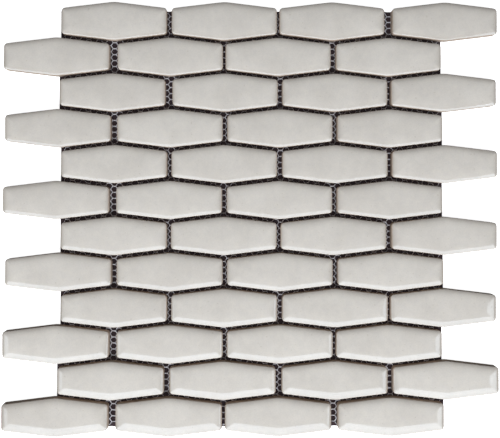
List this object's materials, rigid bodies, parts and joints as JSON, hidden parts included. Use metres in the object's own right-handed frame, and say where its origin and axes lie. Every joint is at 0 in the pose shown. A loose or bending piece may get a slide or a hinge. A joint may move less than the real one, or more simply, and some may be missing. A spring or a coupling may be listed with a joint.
{
  "type": "mesh-mounted mosaic tile sheet",
  "caption": "Mosaic sheet of glazed ceramic tiles shaped as elongated hexagons with cushioned edges, laid in staggered rows on a backing mesh, for walls and floors.",
  "frame": {"origin": "middle of the sheet, on the underside of the backing mesh", "axes": "+X along the rows of tiles, +Y across the rows towards the first row, +Z out of the glazed faces"},
  "size_m": [0.2992, 0.2614, 0.008],
  "materials": {
    "glazed_tile": "glossy warm grey-white glaze that thins to a brown line at the arris, on a brown unglazed body",
    "mesh": "open net of thin pale grey threads"
  },
  "bodies": {
    "root": {"backing_mesh": "mesh", "tile_row01_col1": "glazed_tile", "tile_row01_col2": "glazed_tile", "tile_row01_col3": "glazed_tile", "tile_row01_col4": "glazed_tile", "tile_row02_col1": "glazed_tile", "tile_row02_col2": "glazed_tile", "tile_row02_col3": "glazed_tile", "tile_row02_col4": "glazed_tile", "tile_row03_col1": "glazed_tile", "tile_row03_col2": "glazed_tile", "tile_row03_col3": "glazed_tile", "tile_row03_col4": "glazed_tile", "tile_row04_col1": "glazed_tile", "tile_row04_col2": "glazed_tile", "tile_row04_col3": "glazed_tile", "tile_row04_col4": "glazed_tile", "tile_row05_col1": "glazed_tile", "tile_row05_col2": "glazed_tile", "tile_row05_col3": "glazed_tile", "tile_row05_col4": "glazed_tile", "tile_row06_col1": "glazed_tile", "tile_row06_col2": "glazed_tile", "tile_row06_col3": "glazed_tile", "tile_row06_col4": "glazed_tile", "tile_row07_col1": "glazed_tile", "tile_row07_col2": "glazed_tile", "tile_row07_col3": "glazed_tile", "tile_row07_col4": "glazed_tile", "tile_row08_col1": "glazed_tile", "tile_row08_col2": "glazed_tile", "tile_row08_col3": "glazed_tile", "tile_row08_col4": "glazed_tile", "tile_row09_col1": "glazed_tile", "tile_row09_col2": "glazed_tile", "tile_row09_col3": "glazed_tile", "tile_row09_col4": "glazed_tile", "tile_row10_col1": "glazed_tile", "tile_row10_col2": "glazed_tile", "tile_row10_col3": "glazed_tile", "tile_row10_col4": "glazed_tile", "tile_row11_col1": "glazed_tile", "tile_row11_col2": "glazed_tile", "tile_row11_col3": "glazed_tile", "tile_row11_col4": "glazed_tile", "tile_row12_col1": "glazed_tile", "tile_row12_col2": "glazed_tile", "tile_row12_col3": "glazed_tile", "tile_row12_col4": "glazed_tile"}
  },
  "joints": []
}
